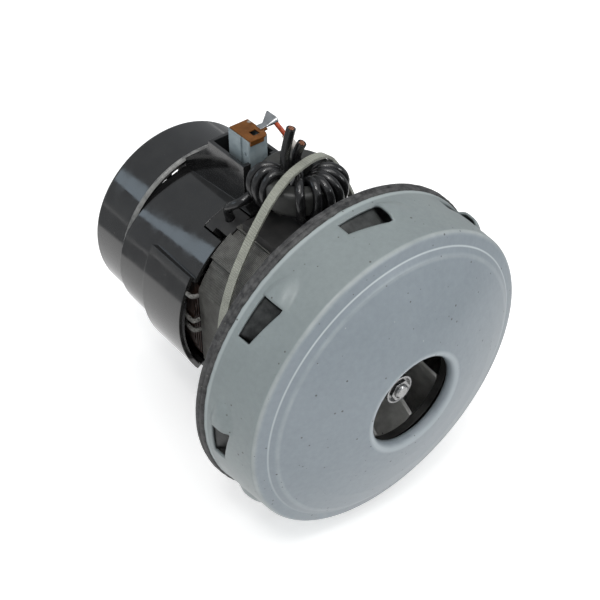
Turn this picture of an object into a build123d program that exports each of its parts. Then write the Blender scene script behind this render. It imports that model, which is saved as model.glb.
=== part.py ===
from build123d import *
import math
import os

# Vacuum suction motor: a commutator motor behind a centrifugal fan in a drawn steel shroud.
# Millimetres. The shaft lies along X, the inlet faces +X, and the upper brush stands at +Z.
# The origin is on the shaft axis at the seat of the shroud's rim.
# Turns about the shaft count from +Z towards -Y.

running_gap = 0.08
seat_gap = 0.1

# Rubber ring round the rim
gasket_radius = 70.0
gasket_wall = 1.0
gasket_rear_x = -3.0
gasket_front_x = 3.5
gasket_depth = 10.0

# Shroud: outside of the drawn sheet
sheet = 1.0
rim_x = 1.2
rim_radius = gasket_radius - gasket_wall - seat_gap
rim_width = 2.6
rim_flare = 0.55
wall_start_x = 6.2
wall_start_radius = rim_radius - rim_flare
wall_end_x = 33.7
wall_draft = 1.4
wall_end_radius = wall_start_radius - wall_draft
ledge_width = 3.4
shoulder_width = 6.75
face_rise = 2.9
face_radius = wall_end_radius - shoulder_width
dome_height = 7.7
inlet_radius = 19.8
inlet_lip_x = 38.6
corner_bend = 3.2
crease_bend = 0.8
face_bend = 3.0
lip_bend = 2.4

vent_count = 8
vent_x = 8.2
vent_tall_side = 10.1
vent_short_side = 5.8
vent_start = -6.3
vent_end = 8.2
scoop_length = 16.0
scoop_radius = 7.0
scoop_top_gap = 0.1
scoop_x = 13.4

# Fan base and front bracket
base_thickness = 1.2
base_front_x = 3.6
hub_wall = 2.5
bracket_radius = 46.0
bracket_depth = 5.0
arm_half_width = 17.7
arm_height = 3.9
arm_end_x = -38.0
leg_half_turn = 7.0
leg_depth = 7.5

# Bearings: front and rear, bore, outside and width
front_bearing_x = -9.0
front_bearing_width = 7.0
front_bearing_radius = 11.0
rear_bearing_x = -86.0
rear_bearing_width = 6.0
rear_bearing_radius = 9.5
race_wall = 2.2
shield_recess = 0.5
inner_race_wall = 1.6

# Shaft
shaft_radius = 4.0
shaft_tail_radius = 3.5
shaft_step_x = -80.0
shaft_rear_x = -107.0
thread_radius = 3.0
thread_start_x = 32.0
shaft_tip_x = 37.2

# Fan
fan_back_x = 17.6
fan_sheet = 0.9
fan_rim_gap = 5.95
fan_radius = wall_end_radius - sheet - fan_rim_gap
fan_blades = 7
blade_inner_radius = 17.6
blade_front_radius = 21.3
blade_turn = -96.0
blade_mid_radius = 34.0
blade_mid_turn = -51.7
blade_start_turn = -135.7
fan_eye_x = 35.6
fan_rim_x = 26.4
fan_eye_radius = 21.8
fan_collar_length = 2.6
fan_hub_radius = 6.0
spacer_radius = 6.5

washer_radius = 6.2
washer_sheet = 0.8
washer_rim = 1.3
nut_across_flats = 8.0
nut_height = 2.0

# Stator
stator_front_x = -17.0
stator_length = 24.5
stator_radius = 44.3
stator_side_radius = 42.0
stator_side = 37.6
stator_flat = 40.6
stator_bore = 20.6
window_radius = 33.5
pole_half_width = 12.0
pole_tip_depth = 4.6
pole_tip_half_angle = 60.0
groove_turns = (26.4, 46.3)
groove_width = 3.4
groove_depth = 1.9
lug_turn = 36.6
screw_circle = 37.0
screw_radius = 1.9
screw_head_radius = 2.8
screw_head_height = 2.2

# Field coils
coil_gap = 0.4
coil_half_height = 19.5
coil_inner_y = 26.0
coil_outer_y = 32.6
coil_end_length = 8.0
coil_end_reach = 41.0

# Armature and commutator
armature_radius = 20.0
armature_slots = 12
slot_width = 3.2
slot_floor = 10.6
slot_roof = 18.0
slot_mouth = 1.4
slot_bend = 1.2
slot_liner = 0.2
sleeve_wall = 1.0
winding_front_x = -10.6
winding_rear_x = -47.4
winding_radius = 18.4
commutator_radius = 12.5
commutator_rear_x = -65.0
commutator_front_x = -50.0
commutator_bars = 24
commutator_bore = 7.5
riser_radius = 14.5
riser_width = 1.8
bar_gap = 0.5

# Rear housing
housing_rear_x = -90.0
housing_front_x = -42.5
housing_half_width = 45.2
housing_rear_height = 39.3
housing_front_height = 43.4
housing_wall = 2.0
pad_radius = 47.0
pad_rear_x = -70.0
pad_front_x = -43.4
pad_half_angle = 32.0
end_wall = 2.5
end_windows = 6
guide_turns = (14.2, 34.6)
guide_rear_x = -54.6
guide_front_x = -41.8
guide_gap = 0.5
guide_inner_turn = 30.6
guide_step_x = -49.6
guide_radius = 43.2
guide_inner_radius = 36.5
guide_ledge = 2.5
foot_half_turn = 5.0
cable_hole_turn = 22.3
cable_hole_x = -48.0
wire_hole_turn = 29.5
wire_hole_x = -50.6
cable_clearance = 0.3
wire_clearance = 0.15

# Brush gear
brush_x = -56.9
brush_length_x = 11.2
brush_width = 6.6
brush_height = 26.0
brush_clearance = 0.1
holder_length_x = 13.6
holder_width = 9.4
holder_foot_z = 14.6
holder_top_z = 69.0
flange_z = 33.0
flange_height = 3.0
box_top_z = 60.5
box_floor_z = 31.0
box_front_x = -48.5
box_rear_x = -72.0
box_half_width = 8.7
box_wall = 1.6
box_notch_half_width = 5.2
box_notch_depth = 4.0
gusset_drop = 3.0
gusset_sheet = 2.0
clip_sheet = 0.6
clip_leg = 5.0
clip_lip = 2.2
clip_corner = 2.4
clip_leg_half = 3.0
clip_tab = 2.0
holder_groove = 0.6
spring_turns = 6
spring_radius = 2.5
spring_wire = 0.35
terminal_x = -55.0
terminal_length = 5.0
terminal_sheet = 0.7
terminal_neck = 3.0
terminal_mouth_width = 7.9
terminal_mouth_height = 2.8
terminal_wall = 0.4
brush_lead_radius = 0.95

# Cooling fan and its cover
cover_radius = 42.5
cover_rear_x = -114.0
cover_wall = 2.0
cover_bend = 2.0
grille_slots = 16
grille_inner = 13.0
grille_outer = 36.0
grille_slot = 4.4
cooler_radius = 36.0
cooler_disc_x = -93.0
cooler_blade_rear_x = -108.5
cooler_sheet = 1.4
cooler_blades = 9
cooler_hub_radius = 8.0

# Suppression ring and the two leads wound on it
ring_x = -33.0
ring_y = 5.0
ring_z = 56.0
ring_tilt = 5.0
ring_outer = 15.0
ring_inner = 8.0
ring_height = 11.0
ring_bend = 2.0
lead_radius = 1.7
turn_half_width = 6.8
turn_half_height = 7.8
left_coil_angles = (-136.0, -84.0)
right_coil_angles = (-52.0, 61.0)

# Cable tie
tie_x = -28.0
tie_tilt = 12.4
tie_width = 3.6
tie_thickness = 1.1
tie_head = 5.0
tie_head_place = (-40.4, -25.4)
tie_head_turn = 33.0

stator_rear_x = stator_front_x - stator_length
base_rear_x = base_front_x - base_thickness
bracket_front_x = base_rear_x - seat_gap
bracket_rear_x = bracket_front_x - bracket_depth
front_bearing_end = front_bearing_x + front_bearing_width
arm_top_z = stator_flat + arm_height
holder_x0 = brush_x - holder_length_x / 2
holder_x1 = brush_x + holder_length_x / 2


# Shared shapes

def half_section(points, radii=None):
    """The face of a half section of (x, radius) points, with a bend radius for each."""
    if radii is None:
        return make_face(Polyline(*points, close=True))
    return make_face(FilletPolyline(*points, radius=radii, close=True))


def turned(points, radii=None):
    return revolve(half_section(points, radii), axis=Axis.X)


def tube(x0, x1, inner, outer):
    return turned([(x0, inner), (x1, inner), (x1, outer), (x0, outer)])


def rod(x0, x1, radius):
    return turned([(x0, 0), (x1, 0), (x1, radius), (x0, radius)])


def block(x0, x1, y0, y1, z0, z1):
    return Pos((x0 + x1) / 2, (y0 + y1) / 2, (z0 + z1) / 2) * Box(x1 - x0, y1 - y0, z1 - z0)


def about_shaft(shape, turn):
    return Rot(X=turn) * shape


def around(shape, count, start=0.0):
    return [about_shaft(shape, start + 360.0 / count * k) for k in range(count)]


def polar(radius, turn):
    """The (y, z) point at a radius and a turn from +Z towards -Y."""
    angle = math.radians(turn)
    return -radius * math.sin(angle), radius * math.cos(angle)


def sector(x0, x1, inner, outer, turn0, turn1):
    """A part of a tube about the shaft between two turns, at most half a circle."""
    reach = outer * 1.6
    middle = (turn0 + turn1) / 2
    wedge = Polyline((0, 0), polar(reach, turn0), polar(reach, middle), polar(reach, turn1), close=True)
    prism = Pos(x0, 0, 0) * extrude(Plane.YZ * make_face(wedge), amount=x1 - x0)
    return tube(x0, x1, inner, outer) & prism


def parallel(points, distance):
    """The same open line moved to its right by a distance, with mitred corners."""
    lines = []
    for (x0, y0), (x1, y1) in zip(points, points[1:]):
        run = math.hypot(x1 - x0, y1 - y0)
        nx, ny = (y1 - y0) / run, (x0 - x1) / run
        lines.append((x0 + nx * distance, y0 + ny * distance, (x1 - x0) / run, (y1 - y0) / run))
    moved = [lines[0][:2]]
    for (ax, ay, adx, ady), (bx, by, bdx, bdy) in zip(lines, lines[1:]):
        cross = adx * bdy - ady * bdx
        reach = ((bx - ax) * bdy - (by - ay) * bdx) / cross
        moved.append((ax + adx * reach, ay + ady * reach))
    (x0, y0), (x1, y1) = points[-2:]
    ex, ey, _, _ = lines[-1]
    moved.append((ex + x1 - x0, ey + y1 - y0))
    return moved


def pipe(points, radius, radii):
    path = FilletPolyline(*points, radius=radii)
    return sweep(Plane(origin=path @ 0, z_dir=path % 0) * Circle(radius), path=path)


def bend_radii(points):
    """The largest even bend at each inner corner of a line: 0.45 of its shorter run."""
    radii = []
    for before, here, after in zip(points, points[1:], points[2:]):
        first = Vector(*here) - Vector(*before)
        second = Vector(*after) - Vector(*here)
        turn = math.radians(first.get_angle(second))
        radii.append(0.45 * min(first.length, second.length) / math.tan(turn / 2))
    return radii


# Shroud and its rubber ring

shroud_line = [
    (rim_x, rim_radius),
    (rim_x + rim_width, rim_radius - 0.1),
    (wall_start_x, wall_start_radius),
    (wall_end_x, wall_end_radius),
    (wall_end_x + 0.5, wall_end_radius - ledge_width),
    (wall_end_x + 0.5 + face_rise, face_radius),
    (wall_end_x + 0.5 + face_rise + dome_height, inlet_radius),
    (inlet_lip_x, inlet_radius),
]
shroud_bends = [0, 2.0, 3.0, corner_bend, crease_bend, face_bend, lip_bend, 0]


def wall_radius(x):
    share = (x - wall_start_x) / (wall_end_x - wall_start_x)
    return wall_start_radius + share * (wall_end_radius - wall_start_radius)


def shroud_shell():
    inner_line = parallel(shroud_line, sheet)
    inner_bends = [0]
    for before, here, after, bend in zip(shroud_line, shroud_line[1:], shroud_line[2:], shroud_bends[1:]):
        turn = (here[0] - before[0]) * (after[1] - here[1]) - (here[1] - before[1]) * (after[0] - here[0])
        inner_bends.append(bend - sheet if turn < 0 else bend + sheet)
    inner_bends.append(0)
    return turned(shroud_line + inner_line[::-1], shroud_bends + inner_bends[::-1])


def scoop(length, radius):
    """One half of a spindle that lies along the wall and ends at the tall side of a vent."""
    half = Ellipse(length, radius) & Pos(-length / 2, radius / 2) * Rectangle(length, radius)
    spindle = Rot(Z=-90) * revolve(half, axis=Axis.X)
    sink = gasket_radius - scoop_top_gap - scoop_radius
    return about_shaft(Pos(scoop_x, 0, sink) * spindle, vent_start)


def vent_hole():
    radius = wall_radius(vent_x)
    low, _ = polar(radius, vent_start)
    high, _ = polar(radius, vent_end)
    outline = Polyline(
        (vent_x, low),
        (vent_x + vent_tall_side, low),
        (vent_x + vent_short_side, high),
        (vent_x, high),
        close=True,
    )
    return Pos(0, 0, radius - 12) * extrude(make_face(outline), amount=20)


def fan_shroud():
    shell = shroud_shell()
    inside = turned([
        (rim_x, 0),
        (wall_end_x, 0),
        (wall_end_x, wall_end_radius - sheet / 2),
        (rim_x, wall_radius(rim_x) - sheet / 2),
    ])
    cap = scoop(scoop_length, scoop_radius) - inside
    hollow = scoop(scoop_length - sheet, scoop_radius - sheet)
    shell = shell.fuse(*around(cap, vent_count))
    shell = shell.cut(*around(hollow, vent_count))
    return shell.cut(*around(vent_hole(), vent_count))


def rim_gasket():
    seat = rim_radius + seat_gap
    back = rim_x - seat_gap
    gasket_inner_radius = gasket_radius - gasket_depth
    outline = [
        (gasket_rear_x, gasket_inner_radius),
        (gasket_rear_x, gasket_radius),
        (gasket_front_x, gasket_radius),
        (gasket_front_x, seat),
        (back, seat),
        (back, gasket_inner_radius),
    ]
    return turned(outline, [0.4, 0.8, 0.3, 0, 0, 0.4])


# Fan base, front bracket and bearings

def fan_base():
    outside = wall_radius(base_rear_x) - sheet - seat_gap
    hub = front_bearing_radius + hub_wall
    lip = front_bearing_radius - 4
    return turned([
        (front_bearing_x, front_bearing_radius),
        (front_bearing_end, front_bearing_radius),
        (front_bearing_end, lip),
        (base_front_x, lip),
        (base_front_x, outside),
        (base_rear_x, outside),
        (base_rear_x, hub),
        (front_bearing_x, hub),
    ])


def front_bracket():
    hub = front_bearing_radius + hub_wall + seat_gap
    ring = tube(bracket_rear_x, bracket_front_x, hub, bracket_radius)
    arm = block(arm_end_x, bracket_front_x, -arm_half_width, arm_half_width, stator_flat + seat_gap, arm_top_z)
    arm -= block(arm_end_x, arm_end_x + 6, -4, 4, stator_flat, arm_top_z)
    rib = block(arm_end_x + 7, bracket_rear_x, -1.0, 1.0, arm_top_z, arm_top_z + 0.2)
    leg = sector(stator_front_x, bracket_rear_x, screw_circle - leg_depth / 2, screw_circle + leg_depth / 2,
                 -leg_half_turn, leg_half_turn)
    legs = [about_shaft(leg, turn) for turn in (lug_turn, 180 - lug_turn, 180 + lug_turn, -lug_turn)]
    body = ring.fuse(arm, rib, about_shaft(arm, 180), *legs)
    holes = [about_shaft(pilot(), turn) for turn in (lug_turn, 180 - lug_turn, 180 + lug_turn, -lug_turn)]
    return body.cut(*holes)


def pilot():
    return Pos(0, 0, screw_circle) * rod(stator_front_x - 1, bracket_front_x - 1.5, screw_radius)


def bearing_outer(x, width, radius, bore):
    shield = bore + inner_race_wall + running_gap
    groove = radius - race_wall
    return turned([
        (x, shield),
        (x, radius),
        (x + width, radius),
        (x + width, shield),
        (x + width - shield_recess, shield),
        (x + width - shield_recess, groove),
        (x + shield_recess, groove),
        (x + shield_recess, shield),
    ])


def bearing_inner(x, width, bore):
    return tube(x, x + width, bore, bore + inner_race_wall)


# Stator

def stator_outline():
    outline = Circle(stator_side_radius)
    lug = make_face(Polyline(
        polar(0, 0),
        polar(60, groove_turns[1] + 2),
        polar(80, 0),
        polar(60, -groove_turns[1] - 2),
        close=True,
    ))
    crown = Circle(stator_radius) & lug
    outline += crown + Rot(Z=180) * crown
    outline &= Rectangle(2 * stator_side, 2 * stator_flat)
    for turn in groove_turns:
        for side in (turn, -turn, 180 - turn, 180 + turn):
            y, z = polar(stator_radius, side)
            outline -= Pos(y, z) * Rot(Z=side) * Rectangle(groove_width, 2 * groove_depth)
    return outline


def coil_window():
    """The two openings beside the poles, where the coils lie."""
    tips = Circle(stator_bore + pole_tip_depth)
    mouth_reach = 2 * stator_radius
    mouth = make_face(Polyline(
        (0, 0),
        polar(mouth_reach, 90 - pole_tip_half_angle),
        polar(mouth_reach, pole_tip_half_angle - 90),
        close=True,
    ))
    tips -= mouth + Rot(Z=180) * mouth
    window = Circle(window_radius) - tips
    window -= Rectangle(2 * window_radius, 2 * pole_half_width)
    return window


def stator_core():
    outline = stator_outline() - Circle(stator_bore) - coil_window()
    core = Pos(stator_rear_x, 0, 0) * extrude(Plane.YZ * outline, amount=stator_length)
    for turn in (lug_turn, 180 - lug_turn, 180 + lug_turn, -lug_turn):
        y, z = polar(screw_circle, turn)
        core -= Pos(0, y, z) * rod(stator_rear_x, stator_front_x, screw_radius + seat_gap)
    return core


def field_coil(side):
    """A wound coil round one pole, its two ends swept outward past the core's faces."""
    inner_z = pole_half_width + coil_gap
    x0 = stator_rear_x - coil_end_length
    x1 = stator_front_x + coil_end_length
    body = block(x0, x1, coil_inner_y, coil_outer_y, -coil_half_height, coil_half_height)
    body &= Pos(x0, 0, 0) * extrude(Plane.YZ * Circle(window_radius - coil_gap), amount=x1 - x0)
    rear = sector(x0, stator_rear_x - coil_gap, coil_inner_y, coil_end_reach, -118, -62)
    front = sector(stator_front_x + coil_gap, x1, coil_inner_y, coil_end_reach - 2, -118, -62)
    body = body.fuse(rear, front)
    eye_x0, eye_x1 = stator_rear_x - coil_gap, stator_front_x + coil_gap
    body -= block(eye_x0, eye_x1, coil_inner_y - 2, coil_end_reach + 2, -inner_z, inner_z)
    return body if side > 0 else about_shaft(body, 180)


def stator_screws():
    length_x = bracket_front_x - 2.5
    foot = housing_foot_rear()
    head = rod(foot - screw_head_height, foot, screw_head_radius)
    slot = block(foot - screw_head_height, foot - 1.4, -0.4, 0.4, -3, 3)
    screw = Pos(0, 0, screw_circle) * ((head - slot) + rod(foot, length_x, screw_radius))
    turns = (lug_turn, 180 - lug_turn, 180 + lug_turn, -lug_turn)
    return Compound([about_shaft(screw, turn).solid() for turn in turns])


def housing_foot_rear():
    return stator_rear_x - seat_gap - 5.0


# Rear housing

def oval(x0, x1, shrink=0.0):
    """The housing's tapered oval between two places: it is flatter at the rear."""
    ends = []
    for x in (x0, x1):
        share = (x - housing_rear_x) / (housing_front_x - housing_rear_x)
        half_height = housing_rear_height + share * (housing_front_height - housing_rear_height)
        outline = Ellipse(housing_half_width - shrink, half_height - shrink)
        ends.append(Pos(x, 0, 0) * (Plane.YZ * outline))
    return loft(ends, ruled=True)


def box_gussets():
    """Two webs that slope from a brush box's rear wall down to the rear end of the housing."""
    foot_z = housing_rear_height - housing_wall
    side = make_face(Polyline(
        (box_rear_x + box_wall, foot_z),
        (box_rear_x + box_wall, box_top_z - gusset_drop),
        (box_rear_x, box_top_z - gusset_drop),
        (housing_rear_x, cover_radius),
        (housing_rear_x, foot_z),
        close=True,
    ))
    web = extrude(Plane.XZ * side, amount=gusset_sheet)
    return [Pos(0, -box_half_width + gusset_sheet, 0) * web, Pos(0, box_half_width, 0) * web]


def rear_housing():
    shell = oval(housing_rear_x, housing_front_x)
    pad = sector(pad_rear_x, pad_front_x, 40, pad_radius, 90 - pad_half_angle, 90 + pad_half_angle)
    box = block(box_rear_x, box_front_x, -box_half_width, box_half_width, box_floor_z, box_top_z)
    webs = box_gussets()
    shell = shell.fuse(pad, about_shaft(pad, 180), box, about_shaft(box, 180), *webs)
    shell = shell.fuse(*[about_shaft(web, 180) for web in webs])
    room = oval(housing_rear_x + end_wall, housing_front_x + 5, housing_wall)
    keep = [box, about_shaft(box, 180)]
    room = room.cut(*keep)
    pad_room = sector(
        pad_rear_x + housing_wall, 0, 30, pad_radius - housing_wall, 92 - pad_half_angle, 88 + pad_half_angle
    )
    shell = shell.cut(room, pad_room, about_shaft(pad_room, 180))
    notch = block(
        box_front_x - box_wall - seat_gap,
        box_front_x + 1,
        -box_notch_half_width,
        box_notch_half_width,
        box_top_z - box_notch_depth,
        box_top_z + 1,
    )
    shell = shell.cut(box_pocket(), about_shaft(box_pocket(), 180), notch, about_shaft(notch, 180))
    hub = rod(housing_rear_x, rear_bearing_x + rear_bearing_width, rear_bearing_radius + hub_wall)
    feet = sector(housing_foot_rear(), stator_rear_x - seat_gap, screw_circle - 3.6, screw_circle + 4.2,
                  -foot_half_turn, foot_half_turn)
    turns = (lug_turn, 180 - lug_turn, 180 + lug_turn, -lug_turn)
    shell = shell.fuse(hub, *[about_shaft(feet, turn) for turn in turns])
    bolt = Pos(0, 0, screw_circle) * rod(housing_foot_rear() - 1, 0, screw_radius + seat_gap)
    shell = shell.cut(*[about_shaft(bolt, turn) for turn in turns])
    seat = rod(rear_bearing_x, 0, rear_bearing_radius + seat_gap / 2)
    through = rod(housing_rear_x - 1, 0, shaft_radius + 2)
    window = sector(housing_rear_x - 1, housing_rear_x + end_wall + 1, 16, 34, -18, 18)
    shell = shell.cut(seat, through, *around(window, end_windows, 90))
    lower_wire = about_shaft(wire_hole(), 180 - wire_hole_turn)
    return shell.cut(*guide_cutouts(), lower_wire)


def cord_hole(x, radius):
    """A round cutter that points out from the shaft towards +Z."""
    return Pos(x, 0, 0) * Cylinder(radius, 2 * housing_half_width, align=(Align.CENTER, Align.CENTER, Align.MIN))


def wire_hole():
    return cord_hole(wire_hole_x, brush_lead_radius + wire_clearance)


def box_pocket():
    inside = block(
        box_rear_x + box_wall,
        box_front_x - box_wall,
        -box_half_width + box_wall,
        box_half_width - box_wall,
        flange_z,
        box_top_z + 5,
    )
    slot = seat_gap + holder_width / 2
    return inside + block(holder_x0 - seat_gap, holder_x1 + seat_gap, -slot, slot, 0, box_top_z)


def guide_cutouts():
    first = sector(guide_rear_x - guide_gap, 0, 36, 60, guide_turns[0], guide_turns[1])
    second = sector(guide_rear_x - guide_gap, 0, 36, 60, -guide_turns[1], -guide_turns[0])
    return [first, second]


def lead_guide(side):
    """A moulded block in the housing's front notch, with the holes that the leads leave by."""
    turn0, turn1 = guide_turns[0] + 1, guide_turns[1] - 1
    inner = guide_inner_radius
    body = sector(guide_rear_x, guide_front_x, inner, guide_radius, turn0, guide_inner_turn)
    ledge = sector(guide_rear_x + 5, guide_front_x, inner - guide_ledge, inner, turn0, guide_inner_turn)
    back = sector(guide_rear_x, guide_step_x, inner, guide_radius, turn0, turn1)
    body = body.fuse(ledge, back)
    body -= about_shaft(cord_hole(cable_hole_x, lead_radius + cable_clearance), cable_hole_turn)
    if side < 0:
        body = mirror(body, about=Plane.XZ) - about_shaft(wire_hole(), -wire_hole_turn)
    return body


# Brush gear, made for the upper brush

def brush_holder():
    outer = block(holder_x0, holder_x1, -holder_width / 2, holder_width / 2, holder_foot_z, holder_top_z)
    outer = fillet(outer.edges().filter_by(Axis.Z), 0.8)
    flange = block(
        box_rear_x + box_wall + seat_gap,
        box_front_x - box_wall - seat_gap,
        -box_half_width + box_wall + seat_gap,
        box_half_width - box_wall - seat_gap,
        flange_z + seat_gap,
        flange_z + flange_height,
    )
    half_x = brush_length_x / 2 + brush_clearance
    half_y = brush_width / 2 + brush_clearance
    bore = block(brush_x - half_x, brush_x + half_x, -half_y, half_y, 0, holder_top_z + 1)
    half = holder_width / 2
    catch = block(brush_x - clip_leg_half, brush_x + clip_leg_half, half - clip_sheet, half + 1,
                  holder_top_z - clip_leg, holder_top_z + 1)
    groove = block(brush_x + 1.6, brush_x + 3.2, -half - 1, -half + holder_groove, box_floor_z, holder_top_z + 1)
    pin_hole = Pos(holder_x1 - 2.2, -half, box_top_z + 2.2) * Rot(X=90) * Cylinder(0.7, 2 * holder_groove)
    foot = rod(holder_x0 - 1, holder_x1 + 1, commutator_radius + 1.2)
    return (outer + flange) - bore - catch - groove - pin_hole - foot


def brush_clip():
    top = holder_top_z + clip_sheet
    half = holder_width / 2
    front = holder_x1 + clip_sheet
    plate = block(holder_x0 + clip_sheet, front, -half + clip_sheet, half, holder_top_z, top)
    corner = plate.edges().filter_by(Axis.Z).sort_by(Axis.X)[-2:].sort_by(Axis.Y)[-1]
    plate = fillet([corner], clip_corner)
    lip = block(holder_x1, front, -half + clip_sheet, half - clip_corner, top - clip_lip, top)
    leg = block(brush_x - clip_leg_half, brush_x + clip_leg_half, half - clip_sheet, half,
                holder_top_z - clip_leg, holder_top_z)
    tab = block(brush_x - 0.4, brush_x + 4.0, half, half + clip_tab, holder_top_z, top)
    window = block(brush_x + 1.2, brush_x + 4.6, -0.6, 2.6, holder_top_z - 1, top + 1)
    return plate.fuse(lip, leg, tab) - window


def carbon_brush():
    body = block(
        brush_x - brush_length_x / 2,
        brush_x + brush_length_x / 2,
        -brush_width / 2,
        brush_width / 2,
        commutator_radius - 1.0,
        commutator_radius + brush_height,
    )
    nib = Pos(brush_x, 0, commutator_radius + brush_height + 0.8) * Cylinder(spring_radius - 0.8, 1.6)
    return body + nib - rod(holder_x0, holder_x1, commutator_radius + running_gap)


def brush_spring():
    z0 = commutator_radius + brush_height + spring_wire
    z1 = holder_top_z - spring_wire - 0.05
    path = Pos(brush_x, 0, z0) * Helix((z1 - z0) / spring_turns, z1 - z0, spring_radius)
    section = Plane(origin=path @ 0, z_dir=path % 0) * RegularPolygon(spring_wire, 6)
    return sweep(section, path=path, is_frenet=True)


def crimp_terminal():
    """A flat tag on the clip's tab that fans out to a flattened mouth for the wire."""
    z = holder_top_z + clip_sheet + terminal_sheet / 2
    neck_y = holder_width / 2 + clip_tab
    tag = Pos(terminal_x, neck_y - 1.4, z) * Box(terminal_neck, 3.0, terminal_sheet)

    def section(share, shrink):
        width = terminal_neck + share * (terminal_mouth_width - terminal_neck) - 2 * shrink
        height = terminal_sheet + share * (terminal_mouth_height - terminal_sheet) - 2 * shrink
        place = (terminal_x - 1.4 * share, neck_y + terminal_length * share, z + 1.1 * share)
        plane = Plane(place, x_dir=(1, 0, 0), z_dir=(0, 1, 0))
        return plane * RectangleRounded(width, height, height * 0.49)

    horn = loft([section(0, 0), section(1, 0)]) - loft([section(0.35, terminal_wall), section(1.02, terminal_wall)])
    return tag + horn


def brush_lead():
    points = brush_lead_points
    return pipe(points, brush_lead_radius, bend_radii(points))


brush_lead_points = [
    (-53.8, 10.8, 70.7),
    (-50.2, 12.6, 66.4),
    (-48.4, 15.0, 61.6),
    (-47.6, 18.4, 55.8),
    (-49.6, 23.2, 49.2),
    (wire_hole_x, 24.1, 42.8),
    (wire_hole_x, 20.9, 37.0),
]


# Armature, commutator and shaft

def slot_prism(x0, x1, shrink):
    """The round cornered bar that fills one winding slot, less a liner all round."""
    depth = slot_roof - slot_floor - 2 * shrink
    width = slot_width - 2 * shrink
    slot = Pos(0, (slot_roof + slot_floor) / 2) * RectangleRounded(width, depth, slot_bend - shrink)
    return Pos(x0, 0, 0) * extrude(Plane.YZ * slot, amount=x1 - x0)


def armature_core():
    core = tube(stator_rear_x, stator_front_x, shaft_radius + sleeve_wall, armature_radius)
    slot = slot_prism(stator_rear_x, stator_front_x, 0)
    mouth = block(stator_rear_x, stator_front_x, -slot_mouth / 2, slot_mouth / 2, slot_roof - 1, armature_radius + 1)
    return core.cut(*around(slot, armature_slots), *around(mouth, armature_slots))


def armature_windings():
    rear = [
        (winding_rear_x, 7.0),
        (winding_rear_x, 12.0),
        (stator_rear_x - 1.2, winding_radius),
        (stator_rear_x - coil_gap, winding_radius),
        (stator_rear_x - coil_gap, 7.0),
    ]
    front = [
        (winding_front_x, 7.0),
        (winding_front_x, 15.5),
        (stator_front_x + 2.2, winding_radius),
        (stator_front_x + coil_gap, winding_radius),
        (stator_front_x + coil_gap, 7.0),
    ]
    bars = around(slot_prism(stator_rear_x - 1, stator_front_x + 1, slot_liner), armature_slots)
    return turned(rear, [0, 2.0, 1.0, 0, 0]).fuse(turned(front, [0, 2.0, 1.0, 0, 0]), *bars)


def winding_sleeve():
    """Moulded insulation between the shaft and the laminations and end windings."""
    return tube(winding_rear_x, winding_front_x, shaft_radius, shaft_radius + sleeve_wall)


def commutator():
    bars = tube(commutator_rear_x, commutator_front_x, commutator_bore, commutator_radius)
    riser = tube(commutator_front_x, commutator_front_x + riser_width, commutator_bore, riser_radius)
    gap = block(commutator_rear_x - 1, commutator_front_x + riser_width + 1, -bar_gap / 2, bar_gap / 2,
                commutator_radius - 0.8, riser_radius + 1)
    return bars.fuse(riser).cut(*around(gap, commutator_bars))


def commutator_hub():
    return tube(commutator_rear_x - 1.5, commutator_front_x + riser_width, shaft_radius, commutator_bore)


def shaft():
    return turned([
        (shaft_rear_x, 0),
        (shaft_rear_x, shaft_tail_radius),
        (shaft_step_x, shaft_tail_radius),
        (shaft_step_x, shaft_radius),
        (thread_start_x, shaft_radius),
        (thread_start_x, thread_radius),
        (shaft_tip_x - 0.6, thread_radius),
        (shaft_tip_x, thread_radius - 0.6),
        (shaft_tip_x, 0),
    ])


# Suction fan

def fan_back_disc():
    return tube(fan_back_x, fan_back_x + fan_sheet, shaft_radius, fan_radius)


def fan_front_disc():
    line = [
        (fan_rim_x, fan_radius),
        (fan_eye_x, fan_eye_radius + fan_sheet),
        (fan_eye_x + fan_collar_length, fan_eye_radius + fan_sheet),
    ]
    back = parallel(line, fan_sheet)
    return turned(line + back[::-1], [0, 1.5, 0, 0, 0.6, 0])


def fan_blade_set():
    """Backward curved strips between the two discs, with slanted inner edges."""
    start = blade_start_turn
    middle = (polar(blade_inner_radius - 2, start + 6), polar(blade_mid_radius, start + blade_mid_turn))
    line = ThreePointArc(middle[0], middle[1], polar(fan_radius + 1, start + blade_turn))
    strip = Plane.YZ * trace(line, fan_sheet)
    front = fan_eye_x - 0.1
    strip = Pos(fan_back_x + fan_sheet, 0, 0) * extrude(strip, amount=front - fan_back_x)
    slope = (fan_eye_x - fan_rim_x) / (fan_radius - fan_eye_radius)
    under = fan_sheet * 1.1
    room = turned([
        (fan_back_x + fan_sheet, blade_inner_radius),
        (fan_back_x + fan_sheet, fan_radius - 0.3),
        (fan_rim_x - under, fan_radius - 0.3),
        (fan_eye_x - under - slope * (blade_front_radius - fan_eye_radius), blade_front_radius),
    ])
    blade = strip & room
    return Compound([about_shaft(blade, 360.0 / fan_blades * k).solid() for k in range(fan_blades)])


def fan_hub():
    return tube(fan_back_x + fan_sheet, thread_start_x + 1.2, shaft_radius, fan_hub_radius)


def fan_spacer():
    return tube(front_bearing_end, fan_back_x, shaft_radius, spacer_radius)


def fan_washer():
    x = thread_start_x + 1.2
    return turned([
        (x, thread_radius + seat_gap),
        (x, washer_radius),
        (x + washer_sheet + washer_rim, washer_radius),
        (x + washer_sheet + washer_rim, washer_radius - washer_sheet),
        (x + washer_sheet, washer_radius - washer_sheet),
        (x + washer_sheet, thread_radius + seat_gap),
    ], [0, 0.5, 0, 0, 0, 0])


def fan_nut():
    x = thread_start_x + 1.2 + washer_sheet
    hexagon = RegularPolygon(nut_across_flats / 2, 6, major_radius=False) - Circle(thread_radius)
    return Pos(x, 0, 0) * extrude(Plane.YZ * hexagon, amount=nut_height)


# Cooling fan and its cover

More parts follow.
